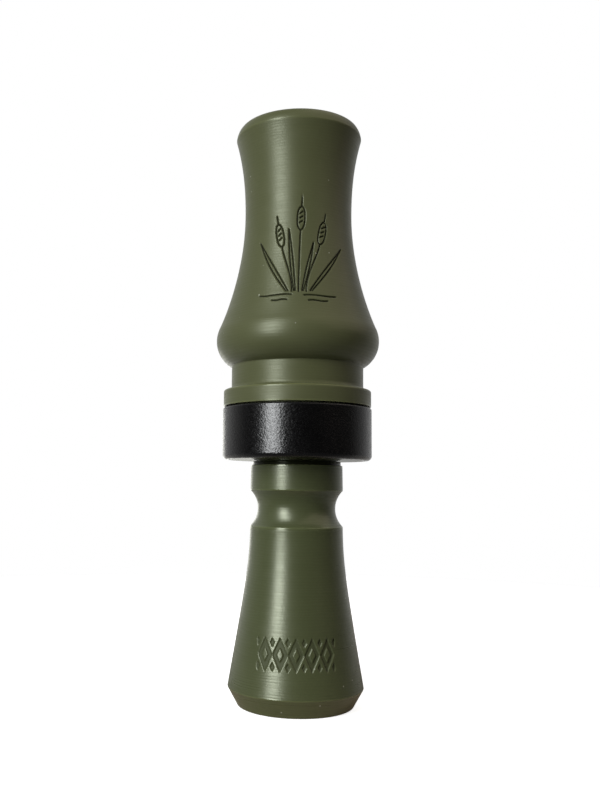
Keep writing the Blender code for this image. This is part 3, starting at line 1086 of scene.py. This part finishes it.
def cork(name):
    """Pressed cork: tan grains of several shades with dark gaps between them."""
    material, graph, place = new_material(name)
    grains = graph.add("ShaderNodeTexVoronoi", {"Vector": place, "Scale": 1400.0, "Randomness": 1.0}, out=1)
    shade = graph.add("ShaderNodeSeparateColor", {0: grains})
    edges = graph.add("ShaderNodeTexVoronoi", {"Vector": place, "Scale": 1400.0}, feature="DISTANCE_TO_EDGE")
    pores = graph.noise(place, 3200.0, 3.0, 0.7)
    tan = graph.ramp(shade, [(0.0, (0.3, 0.16, 0.07)), (0.5, (0.46, 0.27, 0.13)), (1.0, (0.6, 0.4, 0.22))])
    seams = graph.range(edges, 0.0, 0.09, 0.55, 0.0)
    jointed = graph.mix(seams, tan, (0.12, 0.055, 0.025))
    specked = graph.mix(graph.range(pores, 0.62, 0.72, 0.0, 0.8), jointed, (0.08, 0.035, 0.015))
    rough = graph.bump(pores, 0.05 * MM)
    graph.surface(Base_Color=specked, Roughness=0.86, IOR=1.4, Normal=rough)
    return material


def rubber(name):
    """Black moulded rubber with a little grease on it."""
    material, graph, place = new_material(name)
    smears = graph.noise(place, 500.0, 3.0)
    grain = graph.noise(place, 9000.0, 2.0)
    shade = graph.ramp(smears, [(0.3, (0.009, 0.009, 0.009)), (0.7, (0.018, 0.018, 0.017))])
    shine = graph.range(smears, 0.35, 0.65, 0.3, 0.55)
    grainy = graph.bump(grain, 0.004 * MM)
    graph.surface(Base_Color=shade, Roughness=shine, IOR=1.5, Normal=grainy)
    return material


# Studio -------------------------------------------------------------------------------------------


def camera():
    """The photograph's view."""
    data = bpy.data.cameras.new("camera")
    data.lens = LENS
    data.shift_x = CAMERA_SHIFT
    data.clip_start = 1 * MM
    obj = bpy.data.objects.new("camera", data)
    bpy.context.scene.collection.objects.link(obj)
    aim = Euler((math.pi / 2 + CAMERA_TILT, 0, CAMERA_TURN)).to_matrix()
    aim = aim @ Matrix.Rotation(CAMERA_ROLL, 3, "Z")
    stand = Matrix.Translation((CAMERA_SIDE, -CAMERA_DISTANCE, CAMERA_HEIGHT))
    obj.matrix_world = stand @ aim.to_4x4()
    bpy.context.scene.camera = obj


def direction(azimuth, elevation):
    """A unit vector away from the call. Azimuth 0 is the camera's side, positive to its right, in degrees."""
    turn, rise = math.radians(azimuth), math.radians(elevation)
    return Vector((math.sin(turn) * math.cos(rise), -math.cos(turn) * math.cos(rise), math.sin(rise)))


def softbox(name, azimuth, elevation, distance, width, height, radiance, colour):
    """An area light that faces the call's middle. The camera doesn't see it. Sizes are in metres."""
    out = direction(azimuth, elevation)
    data = bpy.data.lights.new(name, "AREA")
    data.shape = "RECTANGLE"
    data.size = width
    data.size_y = height
    data.energy = radiance * math.pi * width * height
    data.color = colour
    obj = bpy.data.objects.new(name, data)
    bpy.context.scene.collection.objects.link(obj)
    obj.location = Vector((0, 0, CALL_TOP / 2)) + out * distance
    obj.rotation_euler = (-out).to_track_quat("-Z", "Y").to_euler()
    obj.visible_camera = False


def world():
    """White to the camera. For light and reflections it is white behind the call and dim in front."""
    surroundings = bpy.data.worlds.new("studio")
    bpy.context.scene.world = surroundings
    surroundings.use_nodes = True
    graph = Graph(surroundings.node_tree)
    ray = graph.add("ShaderNodeTexCoord", out=0)
    toward_white = graph.add(
        "ShaderNodeVectorMath", {0: ray, 1: direction(-175, 0)}, operation="DOT_PRODUCT", out=1
    )
    share = graph.range(toward_white, -1.0, 1.0, 0.0, 1.0)
    white = graph.ramp(share, [(0.0, 0.03), (0.45, 0.05), (0.67, 0.28), (0.93, 0.64), (1.0, 0.8)])
    lit = graph.add("ShaderNodeBackground", {"Color": white, "Strength": 1.0})
    seen = graph.add("ShaderNodeBackground", {"Color": (1, 1, 1, 1), "Strength": 1.0})
    is_camera = graph.add("ShaderNodeLightPath", out=0)
    mixed = graph.add("ShaderNodeMixShader", {0: is_camera, 1: lit, 2: seen})
    graph.add("ShaderNodeOutputWorld", {"Surface": mixed})


def floor_material():
    """White to the camera with a faint contact shadow, and duller in what it throws back.

    What it throws back has light and shade painted in: painted shade in front, paler behind, and a painted
    warm light close to the bell.
    """
    material = bpy.data.materials.new("floor")
    material.use_nodes = True
    graph = Graph(material.node_tree)
    glow = graph.add("ShaderNodeEmission", {"Color": (1, 1, 1, 1), "Strength": 0.8})
    paper = graph.add("ShaderNodeBsdfDiffuse", {"Color": (0.9, 0.9, 0.9, 1)})
    seen = graph.add("ShaderNodeAddShader", {0: glow, 1: paper})
    place = graph.add("ShaderNodeTexCoord", out=3)
    from_axis = graph.add("ShaderNodeVectorMath", {0: place}, operation="LENGTH", out=1)
    along_y = graph.add("ShaderNodeSeparateXYZ", {0: place}, out=1)
    behind = graph.range(along_y, -0.05, 0.1, 0.0, 1.0)
    near_bell = graph.range(from_axis, BELL_RADIUS, 2.5 * BELL_RADIUS, 1.0, 0.0)
    # Painted shade in front of the call and paler behind it, in the light that the floor throws back.
    sheet = graph.mix(behind, (0.1, 0.1, 0.1), (0.8, 0.8, 0.78))
    # Painted warm light close to the bell.
    painted_bounce = graph.mix(near_bell, sheet, (0.6, 0.5, 0.4))
    dull = graph.add("ShaderNodeBsdfDiffuse", {"Color": painted_bounce})
    is_camera = graph.add("ShaderNodeLightPath", out=0)
    mixed = graph.add("ShaderNodeMixShader", {0: is_camera, 1: dull, 2: seen})
    graph.add("ShaderNodeOutputMaterial", {"Surface": mixed})
    return material


def floor():
    """A wide disc just below the bell's rim."""
    rim = [(FLOOR_RADIUS * math.cos(a), FLOOR_RADIUS * math.sin(a), 0) for a in even_angles(64)]
    obj = new_object("floor", rim, [tuple(range(len(rim)))])
    obj.location.z = -0.02 * MM
    obj.data.materials.append(floor_material())


def finished(obj, material, node):
    """Gives a piece its material and puts it in place of a CAD node."""
    obj.data.materials.clear()
    obj.data.materials.append(material)
    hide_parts(node)
    return obj


def lights():
    """A tall softbox in front to the left, a wide warm fill high to the right, a small card low behind."""
    softbox(
        "key_softbox",
        azimuth=-38,
        elevation=20,
        distance=0.7,
        width=0.25,
        height=0.6,
        radiance=11.2,
        colour=(0.97, 0.99, 1.0),
    )
    softbox(
        "warm_fill",
        azimuth=75,
        elevation=50,
        distance=1.2,
        width=1.6,
        height=1.6,
        radiance=0.58,
        colour=(1.0, 0.84, 0.73),
    )
    softbox(
        "back_card",
        azimuth=-162,
        elevation=-3,
        distance=0.3,
        width=0.15,
        height=0.08,
        radiance=1.6,
        colour=(1.0, 1.0, 0.92),
    )


def shells():
    """The plastic and metal pieces: barrel, band, end piece and the tone board inside."""
    barrel_plastic = turned_plastic(
        "barrel_plastic",
        BARREL_COLOUR,
        roughness=0.39,
        ior=1.53,
        cut_shade=0.1,
        cut_gloss=0.15,
        line_depth=0.004 * MM,
        line_contrast=0.025,
    )
    end_plastic = turned_plastic(
        "end_piece_plastic",
        END_PIECE_COLOUR,
        roughness=0.31,
        ior=1.73,
        cut_shade=0.75,
        cut_gloss=0.45,
        line_depth=0.005 * MM,
        line_contrast=0.02,
    )
    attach(finished(barrel(), barrel_plastic, "barrel"), "barrel")
    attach(finished(band(), blasted_black("band_black"), "band"), "barrel")
    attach(finished(end_piece(), end_plastic, "end_piece"), "insert")
    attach(finished(tone_board(), end_plastic, "tone_board"), "insert")


def small_parts():
    """Cork, O-rings and reeds."""
    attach(finished(wedge(), cork("cork"), "wedge"), "insert")

    black_rubber = rubber("black_rubber")
    for node, height in zip(("o_ring_front", "o_ring_rear"), O_RING_HEIGHTS):
        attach(finished(o_ring("moulded_" + node, height), black_rubber, node), "seals")

    film = mylar("reed_film")
    for node, rise, dimpled in (
        ("lower_reed", LOWER_REED_RISE, False),
        ("upper_reed", UPPER_REED_RISE, True),
    ):
        tip = high(node)
        strip = finished(reed("film_" + node, tip, rise, dimpled), film, node)
        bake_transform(strip)


def main():
    bpy.context.scene.view_settings.view_transform = "Standard"
    shells()
    small_parts()
    floor()
    world()
    lights()
    camera()


main()
